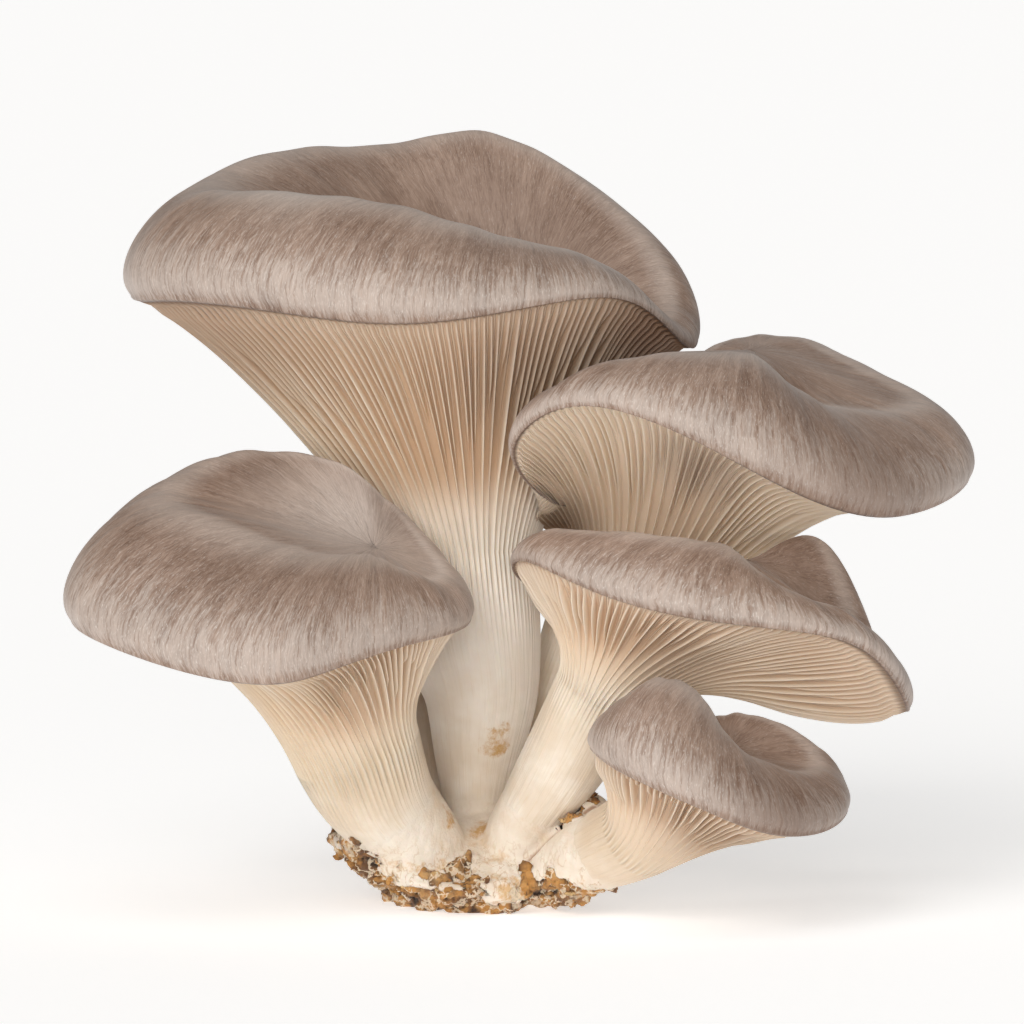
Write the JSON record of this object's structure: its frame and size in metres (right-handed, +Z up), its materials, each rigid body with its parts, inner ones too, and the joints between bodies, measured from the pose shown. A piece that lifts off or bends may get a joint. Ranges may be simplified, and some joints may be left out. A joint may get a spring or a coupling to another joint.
{
  "type": "oyster mushroom cluster",
  "caption": "Cluster of fan-shaped mushrooms with taupe hollow caps, cream gills and pale stems rising from one crumbly clump of mycelium.",
  "frame": {"origin": "under the clump, in the level spot the cluster rests on", "axes": "+Z up the stems, +X to the right as seen from the front, +Y away from the front"},
  "size_m": [0.1537, 0.1026, 0.1297],
  "materials": {
    "mushroom_top": "matte",
    "mushroom_left": "matte",
    "mushroom_upper_right": "matte",
    "mushroom_middle_right": "matte",
    "mushroom_lower_right": "matte",
    "mushroom_back": "matte",
    "clump": "matte"
  },
  "bodies": {
    "root": {"mushroom_top": "mushroom_top", "mushroom_left": "mushroom_left", "mushroom_upper_right": "mushroom_upper_right", "mushroom_middle_right": "mushroom_middle_right", "mushroom_lower_right": "mushroom_lower_right", "mushroom_back": "mushroom_back", "clump": "clump"}
  },
  "joints": []
}
